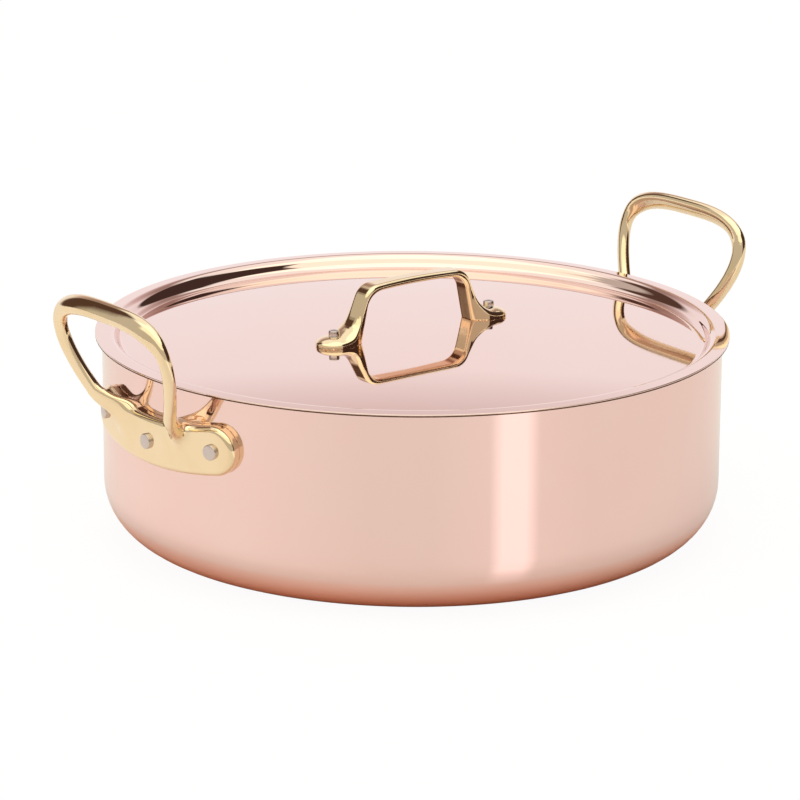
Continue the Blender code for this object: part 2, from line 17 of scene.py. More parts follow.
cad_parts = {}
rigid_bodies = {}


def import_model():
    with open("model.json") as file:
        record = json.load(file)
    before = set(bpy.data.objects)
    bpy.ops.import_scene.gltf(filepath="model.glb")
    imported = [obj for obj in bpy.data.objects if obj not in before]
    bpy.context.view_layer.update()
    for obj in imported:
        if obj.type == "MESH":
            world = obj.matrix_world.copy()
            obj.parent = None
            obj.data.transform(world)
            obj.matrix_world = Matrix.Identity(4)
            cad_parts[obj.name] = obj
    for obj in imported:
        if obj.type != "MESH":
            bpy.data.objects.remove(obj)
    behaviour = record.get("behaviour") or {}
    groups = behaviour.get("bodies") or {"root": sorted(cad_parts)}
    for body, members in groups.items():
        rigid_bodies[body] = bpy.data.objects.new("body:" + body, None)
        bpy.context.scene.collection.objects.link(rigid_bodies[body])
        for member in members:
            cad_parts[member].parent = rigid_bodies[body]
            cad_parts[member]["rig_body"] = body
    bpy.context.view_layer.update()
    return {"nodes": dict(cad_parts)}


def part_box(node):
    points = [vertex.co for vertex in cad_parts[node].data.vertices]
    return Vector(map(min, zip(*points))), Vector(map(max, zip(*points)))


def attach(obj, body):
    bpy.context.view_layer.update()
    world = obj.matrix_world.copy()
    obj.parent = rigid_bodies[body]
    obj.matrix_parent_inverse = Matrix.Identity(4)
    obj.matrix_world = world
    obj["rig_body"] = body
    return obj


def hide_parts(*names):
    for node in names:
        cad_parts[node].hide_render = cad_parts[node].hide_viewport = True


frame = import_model()

MM = 0.001

# Pan: size from the frame, and sheet thicknesses; the lining also fills the gap beside it in the frame
PAN_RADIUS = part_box("pan_copper_body")[1].x
PAN_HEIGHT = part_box("pan_copper_body")[1].z
PAN_CORNER_RADIUS = 25.2 * MM
COPPER_WALL = 1.6 * MM
LINING_WALL = 0.7 * MM

# Lid: size from the frame, sheet thicknesses, well, domed floor and flange
LID_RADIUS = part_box("lid_copper_shell")[1].x
LID_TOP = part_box("lid_copper_shell")[1].z
LID_COPPER_WALL = 0.9 * MM
LID_LINING_WALL = 0.3 * MM
LID_LINING_EASE = LID_LINING_WALL / 3
LID_WELL_DEPTH = 6.3 * MM
LID_WELL_RUN = 3.0 * MM
LID_LIP = 136.73 * MM
LID_DOME_RISE = 4.8 * MM
LID_DOME_RINGS = 40
LID_LIP_RADIUS = 4.5 * MM
LID_WELL_CORNER_RADIUS = 4.5 * MM
FLANGE_FALL = 0.5 * MM
LID_FLOOR_RADIUS = LID_LIP - LID_WELL_RUN
LID_FLOOR_EDGE = LID_TOP - LID_WELL_DEPTH

# Cast side handle: riveted plate
SEAT_GAP = 0.05 * MM
PLATE_SEAT_RADIUS = PAN_RADIUS + SEAT_GAP
PLATE_HEIGHT = PAN_HEIGHT - 27.0 * MM
PLATE_HALF_HEIGHT = 11.2 * MM
PLATE_THICKNESS = 5.6 * MM
PLATE_EDGE_RADIUS = 3.0 * MM
PLATE_SMILE = 3.5 * MM
RIVET_PITCH = 39.3 * MM
SIDE_TURNS = (("right", 0.0), ("left", math.pi))

# Cast side handle: middle line and sections of the loop
LOOP_ROOT_LIFT = 4.2 * MM
LOOP_RISE = 57.2 * MM
LOOP_ROOT_REACH = 7.2 * MM
LOOP_REACH = 26.4 * MM
LOOP_BELLY = 9.0 * MM
LOOP_ROOT_HALF_SPAN = 15.6 * MM
LOOP_TOP_HALF_SPAN = 55.2 * MM
LOOP_SQUARENESS = 3.15
LOOP_SPREAD = 0.76
ROOT_SINK = 8.0 * MM
ROOT_SINK_RUN = 14.0 * MM
LEG_WIDTH = 6.4 * MM
LEG_THICKNESS = 5.5 * MM
LEG_TILT = math.radians(-15)
GRIP_WIDTH = 9.3 * MM
GRIP_THICKNESS = 5.8 * MM
GRIP_TILT = math.radians(32)
GRIP_START = 42.0 * MM
GRIP_FULL = 57.0 * MM
ROOT_FLARE = 4.8 * MM
ROOT_FLARE_RUN = 17.0 * MM
BAR_SQUARENESS = 2.3
ROOT_FILLET = 7.0 * MM

# Lid handle: strap arch
ARCH_HEIGHT = 25.9 * MM
ARCH_CROWN = 0.8 * MM
ARCH_THICKNESS = 3.2 * MM
ARCH_SHOULDER_HALF_SPAN = 28.2 * MM
ARCH_HEEL_HALF_SPAN = 37.0 * MM
ARCH_INNER_SHOULDER_HALF_SPAN = 27.3 * MM
ARCH_INNER_HEEL_HALF_SPAN = 32.0 * MM
ARCH_SHOULDER_RADIUS = 8.5 * MM
ARCH_INNER_RADIUS = 8.5 * MM
ARCH_HEEL_RADIUS = 14.0 * MM
STRAP_MIDDLE_WIDTH = 8.4 * MM
STRAP_WIDTH = 9.8 * MM
STRAP_EDGE = 1.8 * MM

# Lid handle: feet, and the flare of the legs into them
SOLE_SINK = 0.08 * MM
FOOT_RIVET_HALF_SPAN = 45.0 * MM
FOOT_RADIUS = 8.4 * MM
FOOT_HEEL_THICKNESS = 4.7 * MM
FOOT_TIP_THICKNESS = 3.5 * MM
FOOT_CROWN = 7.0 * MM
FOOT_CROWN_SHARE = 0.78
FOOT_RUN = FOOT_RIVET_HALF_SPAN + FOOT_RADIUS - ARCH_HEEL_HALF_SPAN
FLARE_START = 31.0 * MM
FLARE_END = 40.0 * MM

# Rivets
SIDE_SHANK_RADIUS = 3.5 * MM
SIDE_SHANK_TIP = 7.7 * MM
SIDE_HEAD_RADIUS = 6.5 * MM
SIDE_HEAD_HEIGHT = 2.2 * MM
SIDE_HEAD_GAP = 0.25 * MM
LID_SHANK_RADIUS = 2.5 * MM
LID_HEAD_RADIUS = 5.5 * MM
LID_HEAD_HEIGHT = 1.6 * MM
SHANK_CROWN = 0.6 * MM
RIVET_EASE = 0.5 * MM

# Fineness of turned pieces: steps, eased edges, and how far guard points are from an arc
SHEET_STEPS = 256
RIVET_STEPS = 64
HEAD_STEPS = 12
FLOOR_STEPS = 64
ARC_STEP = math.radians(6)
EDGE_EASE = 0.3 * MM
RIM_EASE = 0.9 * MM
GUARD = 0.12 * MM
SAME_POINT = 1e-7

# Fineness of castings: grid, how it is moved onto the surface, and stations of the loop
FIELD_STEP = 0.65 * MM
FIELD_MARGIN = 1.5 * MM
NORMAL_REACH = 0.25 * MM
SURFACE_PASSES = 3
SMALL_SLOPE = 0.05
CHUNK = 60000
BAND_PASSES = 3
LOOP_STATIONS = 901
LOOP_FINER = 20
COARSE = 10
STATION_PASSES = 2
CORE_SIZE = 0.02

# Fineness of the lid handle's outlines: crown, plan, round toes, and run past the heel to be cut off
CROWN_STEPS = 12
STRAIGHT_STEPS = 4
PLAN_STEPS = 60
TOE_STEPS = 16
PAST_HEEL = 3 * FOOT_RADIUS

# Camera: where the photograph was taken from
CAMERA_AZIMUTH = math.radians(-38.1)
CAMERA_ELEVATION = math.radians(16.02)
CAMERA_ROLL = math.radians(0.375)
CAMERA_DISTANCE = 1.8032
CAMERA_LENS = 175.43
CAMERA_SENSOR = 36.0
CAMERA_RANGE = 100.0
AIM_HEIGHT = 40.0 * MM
AIM_RIGHT = -5.43 * MM
AIM_UP = 18.28 * MM

# Finishes: colours, and roughness from low to high
WALL_TONES = ((0.872, 0.622, 0.590), (0.862, 0.637, 0.606))
WALL_ROUGHNESS = (0.05, 0.08)
LID_TONES = ((0.870, 0.655, 0.595), (0.860, 0.665, 0.610))
LID_ROUGHNESS = (0.02, 0.045)
BRASS_TONES = ((0.895, 0.725, 0.505), (0.87, 0.685, 0.445))
BRASS_ROUGHNESS = (0.045, 0.09)
LINING_COLOUR = (0.82, 0.81, 0.79)
LINING_ROUGHNESS = (0.26, 0.30)
RIVET_COLOUR = (0.60, 0.52, 0.50)
RIVET_ROUGHNESS = (0.16, 0.20)
STEEL_PALER = 1.04

# Finishes: noise textures as scale per metre and detail, and the spans of noise that are used
COPPER_PATCHES = (14.0, 3.0)
COPPER_HAZE = (30.0, 4.0)
LATHE_LINES = (2600.0, 2.0)
BRASS_PATCHES = (40.0, 3.0)
BRASS_HAZE = (90.0, 4.0)
FINE_WAVES = (130.0, 2.0)
BROAD_WAVES = (45.0, 1.0)
STEEL_RINGS = (220.0, 2.0)
STEEL_HAZE = (40.0, 2.0)
LINING_LINES = (1500.0, 2.0)
RIVET_LINES = (5000.0, 2.0)
TONE_SPAN = (0.35, 0.65)
HAZE_SPAN = (0.3, 0.7)
STEEL_HAZE_SPAN = (0.2, 0.8)
TURN_SCALE = 0.004

# Finishes: relief as depth and strength
LATHE_RELIEF = (0.01 * MM, 0.06)
FINE_RELIEF = (0.06 * MM, 0.5)
BROAD_RELIEF = (0.35 * MM, 0.6)
STEEL_RELIEF = (0.02 * MM, 0.25)

# Finishes: painted shade on the lower part of the lid's edge, for the dark gap above the pan's rim; dark
# from this radius out and from this height down
GAP_SHADE_COLOUR = (0.22, 0.11, 0.07)
GAP_SHADE_BLUR = 0.15 * MM
GAP_SHADE_RADIUS = LID_RADIUS - 1.0 * MM
GAP_SHADE_HEIGHT = LID_TOP - FLANGE_FALL - 0.40 * MM

# Studio light in degrees: azimuth from the camera's side, right positive, and elevation.
# A panel is azimuth, elevation, half width, half height, softness and colour; later ones lie on top.
PANELS = (
    (0, 72, 180, 29, 5, (1.10, 1.10, 1.04)),
    (0, 72, 100, 24, 8, (1.50, 1.57, 1.34)),
    (0, 86, 180, 12, 8, (1.48, 1.62, 1.40)),
    (0, 40, 84, 9, 6, (1.30, 1.28, 1.06)),
    (96, 24, 38, 21, 4, (0.06, 0.034, 0.028)),
    (-123, 22, 9, 20, 7, (0.10, 0.055, 0.04)),
)
SIDES = (0.60, 0.57, 0.51)

# Backdrop behind the object: colours going up, their elevations, and azimuths where it begins and is full
BACKDROP = (1.0, 0.955, 0.97)
BACKDROP_MIDDLE = (0.69, 0.545, 0.535)
BACKDROP_TOP = (0.38, 0.27, 0.24)
BACKDROP_STOPS = (19.5, 26.0, 34.0)
BACKDROP_SIDES = (115.0, 145.0)
PLAIN_WHITE = (1.0, 1.0, 1.0)

# Floor: paint, and how much of its white glow the camera and the metal see
FLOOR_RADIUS = 9.0
FLOOR_COLOUR = (0.92, 0.86, 0.86)
SEEN_WHITE = 0.93
SEEN_LIGHT = 1.02
MIRRORED_WHITE = 0.1

# Floor by the pan: distances over which the painted warm shade ends and over which the metal begins to see
# the glow
CONTACT_SHADE_COLOUR = (0.92, 0.52, 0.36)
CONTACT_SHADE_REACH = (128.0 * MM, 152.0 * MM)
CONTACT_RING = (145.0 * MM, 175.0 * MM)

# Beams of light on the floor from one point: azimuth, half width, softness and strength
BEAM_START = (4.6 * MM, -84.1 * MM, 0.0)
BEAMS = (
    (37.8, 4.6, 5.0, 3.4),
    (37.0, 4.0, 26.0, 0.6),
    (-88.0, 25.0, 45.0, 0.8),
)


def ease(value):
    """Smooth step from 0 to 1."""
    value = np.clip(value, 0.0, 1.0)
    return value * value * (3 - 2 * value)


# Turned pieces

def offset(corners, distance):
    """Move a path of (across, up, rounding) corners to its left, or right if negative.

    Left bends lose as much rounding as the path moves, and right bends gain it.
    """
    spots = [Vector(corner[:2]) for corner in corners]
    ways = [(b - a).normalized() for a, b in zip(spots, spots[1:])]
    moved = []
    for i, spot in enumerate(spots):
        before = ways[max(i - 1, 0)]
        after = ways[min(i, len(ways) - 1)]
        lefts = [Vector((-way.y, way.x)) for way in (before, after)]
        mitre = (lefts[0] + lefts[1]) / (1 + lefts[0].dot(lefts[1]))
        turn = before.x * after.y - before.y * after.x
        rounding = corners[i][2]
        if rounding:
            rounding = max(rounding - math.copysign(distance, turn), EDGE_EASE)
        moved.append((*(spot + mitre * distance), rounding))
    return moved


def sheet(corners, near, far, easing):
    """Outline of a sheet between two offsets of a path from the axis; easing rounds its near edge."""
    sides = []
    for distance, ease_radius in ((near, easing), (far, EDGE_EASE)):
        side = offset(corners, distance)
        side[-1] = (side[-1][0], side[-1][1], ease_radius)
        sides.append(side)
    return sides[0] + sides[1][::-1]


def rounded(corners):
    """Points of an open path through (across, up, rounding) corners, with guards beside each arc."""
    points = []
    for i, corner in enumerate(corners):
        spot = Vector(corner[:2])
        if not corner[2]:
            points.append(tuple(spot))
            continue
        back = Vector(corners[i - 1][:2]) - spot
        ahead = Vector(corners[i + 1][:2]) - spot
        half = back.angle(ahead) / 2
        run = corner[2] / math.tan(half)
        back.normalize()
        ahead.normalize()
        centre = spot + (back + ahead).normalized() * corner[2] / math.sin(half)
        first = spot + back * run
        last = spot + ahead * run
        arm = first - centre
        turn = math.atan2(arm.x * (last - centre).y - arm.y * (last - centre).x, arm.dot(last - centre))
        steps = max(int(abs(turn) / ARC_STEP), 2)
        arc = [centre + Matrix.Rotation(turn * k / steps, 2) @ arm for k in range(steps + 1)]
        points += [tuple(p) for p in [first + back * GUARD] + arc + [last + ahead * GUARD]]
    return points


def turned(name, corners, steps):
    """Mesh turned about Z from an outline that starts and ends on the axis."""
    bm = bmesh.new()
    rings = []
    for radius, height in rounded(corners):
        if radius < SAME_POINT:
            rings.append([bm.verts.new((0, 0, height))])
            continue
        angles = [2 * math.pi * k / steps for k in range(steps)]
        rings.append([bm.verts.new((radius * math.cos(a), radius * math.sin(a), height)) for a in angles])
    for lower, upper in zip(rings, rings[1:]):
        if len(lower) + len(upper) == 2:
            continue
        for k in range(steps):
            n = (k + 1) % steps
            low = [lower[k % len(lower)], lower[n % len(lower)]]
            high = [upper[n % len(upper)], upper[k % len(upper)]]
            bm.faces.new(list(dict.fromkeys(low + high)))
    return mesh_of(name, bm)


def mesh_of(name, bm):
    """Finish a bmesh as a smooth mesh with its faces pointing out."""
    bmesh.ops.recalc_face_normals(bm, faces=bm.faces)
    mesh = bpy.data.meshes.new(name)
    bm.to_mesh(mesh)
    bm.free()
    mesh.shade_smooth()
    return mesh


# Castings from distance fields

def smooth_union(a, b, size):
    """Union of two fields with a fillet of about that size."""
    share = np.clip(0.5 + 0.5 * (b - a) / size, 0, 1)
    return b + (a - b) * share - size * share * (1 - share)


def rounded_overlap(a, b, rounding):
    """Overlap of two fields whose common edge has that rounding."""
    corner = np.hypot(np.maximum(a + rounding, 0), np.maximum(b + rounding, 0))
    return np.minimum(np.maximum(a, b), -rounding) + corner


def crowned_overlap(a, b, fall, run):
    """Overlap of two fields whose common edge is a quarter ellipse, fall deep in a and run wide in b."""
    deep = a / fall + 1
    wide = b / run + 1
    outside = np.hypot(np.maximum(deep, 0), np.maximum(wide, 0))
    return (np.minimum(np.maximum(deep, wide), 0) + outside - 1) * np.minimum(fall, run)


def unit(vectors):
    """The vectors at length 1."""
    return vectors / np.maximum(np.linalg.norm(vectors, axis=-1, keepdims=True), SAME_POINT)


def gradient(field, points):
    """How fast the field grows along each axis."""
    slopes = []
    for axis in range(3):
        reach = np.zeros(3)
        reach[axis] = NORMAL_REACH
        slopes.append((field(points + reach) - field(points - reach)) / (2 * NORMAL_REACH))
    return np.stack(slopes, axis=-1)


def to_surface(field, points):
    """Points moved along the gradient to where the field is zero, to first order."""
    slopes = gradient(field, points)
    steep = np.maximum((slopes ** 2).sum(axis=1), SMALL_SLOPE)
    return points - slopes * (field(points) / steep)[:, None]


def in_chunks(work, points):
    """Run work on slices of the points, to keep memory low."""
    return np.concatenate([work(points[k:k + CHUNK]) for k in range(0, len(points), CHUNK)])


def cast(name, field, low, high):
    """Mesh of the surface where the field is zero; the field also sets its vertices and normals."""
    low = np.array(low) - FIELD_MARGIN
    counts = np.ceil((np.array(high) + FIELD_MARGIN - low) / FIELD_STEP).astype(int)
    grid = np.stack(np.meshgrid(*[np.arange(n) for n in counts], indexing="ij"), axis=-1).reshape(-1, 3)
    values = in_chunks(field, low + grid * FIELD_STEP)
    volume = openvdb.FloatGrid(FIELD_MARGIN)
    volume.copyFromArray(values.reshape(counts).astype(np.float32))
    spots, quads = volume.convertToQuads(isovalue=0.0)
    spots = low + spots.astype(float) * FIELD_STEP
    for _ in range(SURFACE_PASSES):
        spots = in_chunks(lambda p: to_surface(field, p), spots)
    mesh = bpy.data.meshes.new(name)
    mesh.from_pydata(spots.tolist(), [], quads.tolist())
    mesh.shade_smooth()
    normals = unit(in_chunks(lambda p: gradient(field, p), spots))
    mesh.normals_split_custom_set_from_vertices(normals.tolist())
    return mesh


def band_middle(along):
    """Height of the plate's middle line at a distance along the wall."""
    return PLATE_HEIGHT + PLATE_SMILE * (along / RIVET_PITCH) ** 2


def plate_field(points):
    """Distance to the riveted plate: a curved band with round ends, bent to the wall."""
    out = np.hypot(points[:, 0], points[:, 1])
    along = np.arctan2(points[:, 1], points[:, 0]) * PLATE_SEAT_RADIUS
    nearest = np.clip(along, -RIVET_PITCH, RIVET_PITCH)
    for _ in range(BAND_PASSES):
        slope = 2 * PLATE_SMILE * nearest / RIVET_PITCH ** 2
        nearest = along + slope * (points[:, 2] - band_middle(nearest))
        nearest = np.clip(nearest, -RIVET_PITCH, RIVET_PITCH)
    outline = np.hypot(along - nearest, points[:, 2] - band_middle(nearest)) - PLATE_HALF_HEIGHT
    return rounded_overlap(outline, out - PLATE_SEAT_RADIUS - PLATE_THICKNESS, PLATE_EDGE_RADIUS)


def loop_middle(sweep):
    """Middle line of the loop; sweep runs from -pi/2 at one root over the grip to pi/2."""
    rise = np.abs(np.cos(sweep)) ** (2 / LOOP_SQUARENESS)
    side = np.sign(sweep) * np.abs(np.sin(sweep)) ** (2 / LOOP_SQUARENESS)
    across = side * (LOOP_ROOT_HALF_SPAN + (LOOP_TOP_HALF_SPAN - LOOP_ROOT_HALF_SPAN) * rise ** LOOP_SPREAD)
    root_out = PAN_RADIUS + LOOP_ROOT_REACH
    top_out = PAN_RADIUS + LOOP_REACH
    out = root_out + (top_out - root_out) * rise + LOOP_BELLY * rise * (1 - rise)
    out = out - ROOT_SINK * (1 - ease(LOOP_RISE * rise / ROOT_SINK_RUN))
    return np.stack([out, across, PLATE_HEIGHT + LOOP_ROOT_LIFT + LOOP_RISE * rise], axis=-1)


def loop_frames():
    """Evenly spaced stations of the loop: centres, directions, wide and thick axes, half sizes."""
    fine = loop_middle(np.linspace(-math.pi / 2, math.pi / 2, LOOP_FINER * LOOP_STATIONS + 1))
    lengths = np.concatenate([[0], np.cumsum(np.linalg.norm(np.diff(fine, axis=0), axis=1))])
    wanted = np.linspace(0, lengths[-1], LOOP_STATIONS)
    centres = np.stack([np.interp(wanted, lengths, fine[:, k]) for k in range(3)], axis=-1)
    ahead = unit(np.gradient(centres, axis=0))
    outward = unit(np.array([1.0, 0, 0]) - ahead * ahead[:, :1])
    away = np.cross(outward, ahead)
    height = centres[:, 2] - centres[0, 2]
    to_grip = ease((height - GRIP_START) / (GRIP_FULL - GRIP_START))
    leg_width = LEG_WIDTH + ROOT_FLARE * (1 - ease(height / ROOT_FLARE_RUN))
    half_width = (leg_width + (GRIP_WIDTH - leg_width) * to_grip) / 2
    half_thickness = (LEG_THICKNESS + (GRIP_THICKNESS - LEG_THICKNESS) * to_grip) / 2
    tilt = (LEG_TILT + (GRIP_TILT - LEG_TILT) * to_grip)[:, None]
    wide = away * np.cos(tilt) - outward * np.sin(tilt)
    thick = outward * np.cos(tilt) + away * np.sin(tilt)
    return centres, ahead, wide, thick, half_width, half_thickness


LOOP = loop_frames()


def bar_field(points):
    """Distance to the loop's bar, a rounded oblong swept along its middle line."""
    centres, ahead, wide, thick, half_width, half_thickness = LOOP
    # Nearest coarse station first, then steps along the line to the nearest of all
    coarse = centres[::COARSE]
    near = COARSE * np.argmax(points @ coarse.T - 0.5 * (coarse ** 2).sum(axis=1), axis=1)
    spacing = np.linalg.norm(centres[1] - centres[0])
    for _ in range(STATION_PASSES):
        steps = ((points - centres[near]) * ahead[near]).sum(axis=1) / spacing
        near = np.clip(near + np.rint(np.clip(steps, -COARSE, COARSE)).astype(int), 0, LOOP_STATIONS - 1)
    arm = points - centres[near]
    past = (arm * ahead[near]).sum(axis=1)
    across = (arm * wide[near]).sum(axis=1) / half_width[near]
    through = (arm * thick[near]).sum(axis=1) / half_thickness[near]
    size = (np.abs(across) ** BAR_SQUARENESS + np.abs(through) ** BAR_SQUARENESS) ** (1 / BAR_SQUARENESS)
    reach = np.hypot(across * half_width[near], through * half_thickness[near])
    section = reach * (1 - 1 / np.maximum(size, CORE_SIZE))
    at_end = (near == 0) | (near == LOOP_STATIONS - 1)
    return np.where(at_end, np.maximum(section, np.abs(past)), section)


def side_handle_field(points):
    """Distance to one side handle: plate and loop in one casting, its back on the wall."""
    casting = smooth_union(plate_field(points), bar_field(points), ROOT_FILLET)
    return np.maximum(casting, PLATE_SEAT_RADIUS - np.hypot(points[:, 0], points[:, 1]))


def polygon_field(points, polygon):
    """Distance to a closed flat polygon, negative inside."""
    nearest = np.full(len(points), np.inf)
    inside = np.zeros(len(points), bool)
    for a, b in zip(polygon, np.roll(polygon, -1, axis=0)):
        edge = b - a
        arm = points - a
        share = np.clip(arm @ edge / (edge @ edge), 0, 1)
        nearest = np.minimum(nearest, ((arm - share[:, None] * edge) ** 2).sum(axis=1))
        spans = (a[1] <= points[:, 1]) != (b[1] <= points[:, 1])
        left = arm[:, 0] * edge[1] - arm[:, 1] * edge[0]
        inside ^= spans & ((left < 0) == (edge[1] > 0))
    return np.where(inside, -1, 1) * np.sqrt(nearest)


def dome_height(radius):
    """Height of the lid's floor."""
    return LID_FLOOR_EDGE + LID_DOME_RISE * (1 - (radius / LID_FLOOR_RADIUS) ** 2)


def arch_crown(start, height):
    """Corners along the crowned top or underside, from a straight run by the shoulder to the middle."""
    corners = []
    for k in range(STRAIGHT_STEPS, CROWN_STEPS + 1):
        span = start * (1 - k / CROWN_STEPS)
        corners.append((span, height - ARCH_CROWN * (span / ARCH_SHOULDER_HALF_SPAN) ** 2, 0))
    return corners


def arch_profile():
    """Side outline of half the lid handle, from its middle over the shoulder to the foot and back."""
    sole = dome_height(ARCH_INNER_HEEL_HALF_SPAN)
    top = sole + ARCH_HEIGHT
    under = top - ARCH_THICKNESS
    below = sole - FOOT_HEEL_THICKNESS
    slope = (FOOT_HEEL_THICKNESS - FOOT_TIP_THICKNESS) / FOOT_RUN
    outer = arch_crown(ARCH_SHOULDER_HALF_SPAN, top)[::-1] + [
        (ARCH_SHOULDER_HALF_SPAN, top - ARCH_CROWN, ARCH_SHOULDER_RADIUS),
        (ARCH_HEEL_HALF_SPAN, sole + FOOT_HEEL_THICKNESS, ARCH_HEEL_RADIUS),
        (ARCH_HEEL_HALF_SPAN + PAST_HEEL, sole + FOOT_HEEL_THICKNESS - slope * PAST_HEEL, 0),
    ]
    inner = [
        (ARCH_HEEL_HALF_SPAN + PAST_HEEL, below, 0),
        (ARCH_INNER_HEEL_HALF_SPAN, below, 0),
        (ARCH_INNER_HEEL_HALF_SPAN, sole, 0),
        (ARCH_INNER_SHOULDER_HALF_SPAN, under - ARCH_CROWN, ARCH_INNER_RADIUS),
    ] + arch_crown(ARCH_INNER_SHOULDER_HALF_SPAN, under)
    half = rounded(outer) + rounded(inner)
    return np.array(half + [(-across, up) for across, up in reversed(half[1:-1])])


def foot_share(span):
    """How far the leg has flared into the foot at a distance from the handle's middle."""
    return ease((span - FLARE_START) / (FLARE_END - FLARE_START))


def strap_half_width(span):
    """Half width of the handle at a distance from its middle: strap, flare, then round foot."""
    past = np.maximum(span - FOOT_RIVET_HALF_SPAN, 0)
    strap = STRAP_MIDDLE_WIDTH + (STRAP_WIDTH - STRAP_MIDDLE_WIDTH) * ease(span / ARCH_SHOULDER_HALF_SPAN)
    flared = strap / 2 + (FOOT_RADIUS - strap / 2) * foot_share(span)
    return np.where(past > 0, np.sqrt(np.maximum(FOOT_RADIUS ** 2 - past ** 2, 0)), flared)


def arch_plan():
    """Outline of the lid handle seen from above."""
    straight = np.linspace(0, FOOT_RIVET_HALF_SPAN, PLAN_STEPS, endpoint=False)
    toe = [FOOT_RADIUS * math.sin(math.pi / 2 * k / TOE_STEPS) for k in range(TOE_STEPS)]
    spans = np.concatenate([straight, FOOT_RIVET_HALF_SPAN + np.array(toe)])
    quarter = list(zip(spans, strap_half_width(spans))) + [(FOOT_RIVET_HALF_SPAN + FOOT_RADIUS, 0.0)]
    half = quarter + [(s, -w) for s, w in reversed(quarter[1:-1])] + [(0.0, -quarter[0][1])]
    return np.array(half + [(-s, w) for s, w in reversed(half[1:-1])])


ARCH_PROFILE = arch_profile()
ARCH_PLAN = arch_plan()


def lid_handle_field(points):
    """Distance to the lid handle: side outline and plan overlap, round on the strap, crowned on the feet."""
    profile = polygon_field(points[:, [0, 2]], ARCH_PROFILE)
    plan = polygon_field(points[:, [0, 1]], ARCH_PLAN)
    floor = dome_height(np.hypot(points[:, 0], points[:, 1])) - SOLE_SINK
    span = np.abs(points[:, 0])
    on_foot = foot_share(span)
    to_tip = np.clip((span - ARCH_HEEL_HALF_SPAN) / FOOT_RUN, 0, 1)
    thickness = FOOT_HEEL_THICKNESS + (FOOT_TIP_THICKNESS - FOOT_HEEL_THICKNESS) * to_tip
    run = STRAP_EDGE + (FOOT_CROWN - STRAP_EDGE) * on_foot
    fall = STRAP_EDGE + (FOOT_CROWN_SHARE * thickness - STRAP_EDGE) * on_foot
    return np.maximum(crowned_overlap(profile, plan, fall, run), floor - points[:, 2])


# Nodes of materials

def link(tree, value, socket):
    """Connect a node's output, or set a plain value, on a socket."""
    if isinstance(value, bpy.types.NodeSocket):
        tree.links.new(value, socket)
    else:
        socket.default_value = value


def maths(tree, operation, *values):
    """One maths node; gives its output."""
    node = tree.nodes.new("ShaderNodeMath")
    node.operation = operation
    for value, socket in zip(values, node.inputs):
        link(tree, value, socket)
    return node.outputs[0]


def split(tree, vector):
    """X, Y and Z of a vector."""
    node = tree.nodes.new("ShaderNodeSeparateXYZ")
    link(tree, vector, node.inputs[0])
    return list(node.outputs)


def noise(tree, place, texture):
    """Noise at a place; the texture is its scale and its detail."""
    node = tree.nodes.new("ShaderNodeTexNoise")
    link(tree, place, node.inputs["Vector"])
    scale, detail = texture
    node.inputs["Scale"].default_value = scale
    node.inputs["Detail"].default_value = detail
    return node.outputs["Fac"]


def ramp(tree, value, low, high, to_low=0.0, to_high=1.0):
    """Map a value from one range to another, clamped."""
    node = tree.nodes.new("ShaderNodeMapRange")
    for item, socket in zip((value, low, high, to_low, to_high), node.inputs):
        link(tree, item, socket)
    return node.outputs[0]


def colour_mix(tree, share, first, second):
    """Mix two colours, each a socket or a plain colour."""
    node = tree.nodes.new("ShaderNodeMix")
    node.data_type = "RGBA"
    link(tree, share, node.inputs["Factor"])
    for value, socket in ((first, node.inputs["A"]), (second, node.inputs["B"])):
        link(tree, value if isinstance(value, bpy.types.NodeSocket) else (*value, 1.0), socket)
    return node.outputs["Result"]


def bump(tree, height, relief, under=None):
    """Normal from a height value, over another normal if one is given; the relief is depth and strength."""
    node = tree.nodes.new("ShaderNodeBump")
    depth, strength = relief
    node.inputs["Strength"].default_value = strength
    node.inputs["Distance"].default_value = depth
    link(tree, height, node.inputs["Height"])
    if under is not None:
        link(tree, under, node.inputs["Normal"])
    return node.outputs["Normal"]


def polar(tree):
    """Object coordinates, plain and as (distance from the axis, height, scaled turn) for turned metal."""
    place = tree.nodes.new("ShaderNodeTexCoord").outputs["Object"]
    x, y, z = split(tree, place)
    squares = [maths(tree, "MULTIPLY", part, part) for part in (x, y)]
    radius = maths(tree, "SQRT", maths(tree, "ADD", *squares))
    turn = maths(tree, "MULTIPLY", maths(tree, "ARCTAN2", y, x), TURN_SCALE)
    join = tree.nodes.new("ShaderNodeCombineXYZ")
    for value, socket in zip((radius, z, turn), join.inputs):
        link(tree, value, socket)
    return place, join.outputs[0]


# Finishes

def metal(name):
    """New metallic material and its node tree."""
    material = bpy.data.materials.new(name)
    material.use_nodes = True
    material.node_tree.nodes["Principled BSDF"].inputs["Metallic"].default_value = 1.0
    return material, material.node_tree


def dress(material, colour, roughness, normal):
    """Connect a metal's colour, roughness and relief."""
    tree = material.node_tree
    shader = tree.nodes["Principled BSDF"]
    link(tree, colour, shader.inputs["Base Color"])
    link(tree, roughness, shader.inputs["Roughness"])
    link(tree, normal, shader.inputs["Normal"])
    return material


def painted_gap_shade(tree, round_place, colour):
    """Paint shade on the lower part of the lid's edge, for the dark gap above the pan's rim."""
    radius, height, _ = split(tree, round_place)
    outside = ramp(tree, radius, GAP_SHADE_RADIUS, GAP_SHADE_RADIUS + GAP_SHADE_BLUR)
    below = ramp(tree, height, GAP_SHADE_HEIGHT, GAP_SHADE_HEIGHT - GAP_SHADE_BLUR)
    return colour_mix(tree, maths(tree, "MULTIPLY", outside, below), colour, GAP_SHADE_COLOUR)


